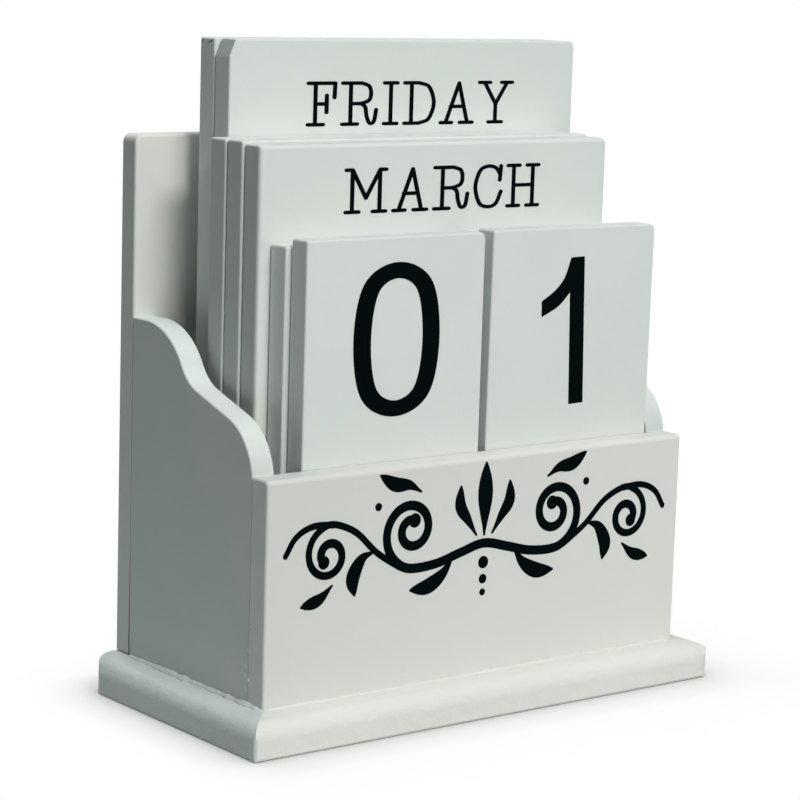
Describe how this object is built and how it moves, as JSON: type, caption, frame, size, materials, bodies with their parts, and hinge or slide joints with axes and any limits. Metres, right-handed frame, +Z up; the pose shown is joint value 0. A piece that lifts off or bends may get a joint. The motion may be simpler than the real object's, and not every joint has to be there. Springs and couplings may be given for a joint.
{
  "type": "perpetual desk calendar",
  "caption": "White-painted open-topped box on a moulded base, with scalloped sides, holding lift-out plaques that show weekday, month and day.",
  "frame": {"origin": "centre of the base board's underside", "axes": "+X to the right along the front, +Y from the front to the back, +Z up"},
  "size_m": [0.1386, 0.0694, 0.1558],
  "materials": {
    "painted_board": "white acrylic paint on fibreboard, satin",
    "painted_plaque": "white acrylic paint on fibreboard, satin",
    "steel_brads": "bright steel wire",
    "black_vinyl": "matt black self-adhesive vinyl"
  },
  "bodies": {
    "holder": {"base_board": "painted_board", "front_panel": "painted_board", "back_panel": "painted_board", "left_side_panel": "painted_board", "right_side_panel": "painted_board", "front_panel_brads": "steel_brads", "back_panel_brads": "steel_brads", "base_brads": "steel_brads"},
    "tens_card": {"tens_card": "painted_plaque"},
    "units_card": {"units_card": "painted_plaque"},
    "spare_tens_card": {"spare_tens_card": "painted_plaque"},
    "spare_units_card": {"spare_units_card": "painted_plaque"},
    "month_plaque_front": {"month_plaque_front": "painted_plaque"},
    "month_plaque_middle": {"month_plaque_middle": "painted_plaque"},
    "month_plaque_rear": {"month_plaque_rear": "painted_plaque"},
    "weekday_plaque_front": {"weekday_plaque_front": "painted_plaque"},
    "weekday_plaque_rear": {"weekday_plaque_rear": "painted_plaque"}
  },
  "joints": [
    {"name": "lift_tens_card", "type": "slide", "parent": "holder", "child": "tens_card", "axis": [0, 0, 1], "range_m": [0, 0.15]},
    {"name": "lift_units_card", "type": "slide", "parent": "holder", "child": "units_card", "axis": [0, 0, 1], "range_m": [0, 0.15]},
    {"name": "lift_spare_tens_card", "type": "slide", "parent": "holder", "child": "spare_tens_card", "axis": [0, 0, 1], "range_m": [0, 0.15]},
    {"name": "lift_spare_units_card", "type": "slide", "parent": "holder", "child": "spare_units_card", "axis": [0, 0, 1], "range_m": [0, 0.15]},
    {"name": "lift_month_plaque_front", "type": "slide", "parent": "holder", "child": "month_plaque_front", "axis": [0, 0, 1], "range_m": [0, 0.15]},
    {"name": "lift_month_plaque_middle", "type": "slide", "parent": "holder", "child": "month_plaque_middle", "axis": [0, 0, 1], "range_m": [0, 0.15]},
    {"name": "lift_month_plaque_rear", "type": "slide", "parent": "holder", "child": "month_plaque_rear", "axis": [0, 0, 1], "range_m": [0, 0.15]},
    {"name": "lift_weekday_plaque_front", "type": "slide", "parent": "holder", "child": "weekday_plaque_front", "axis": [0, 0, 1], "range_m": [0, 0.15]},
    {"name": "lift_weekday_plaque_rear", "type": "slide", "parent": "holder", "child": "weekday_plaque_rear", "axis": [0, 0, 1], "range_m": [0, 0.15]}
  ]
}
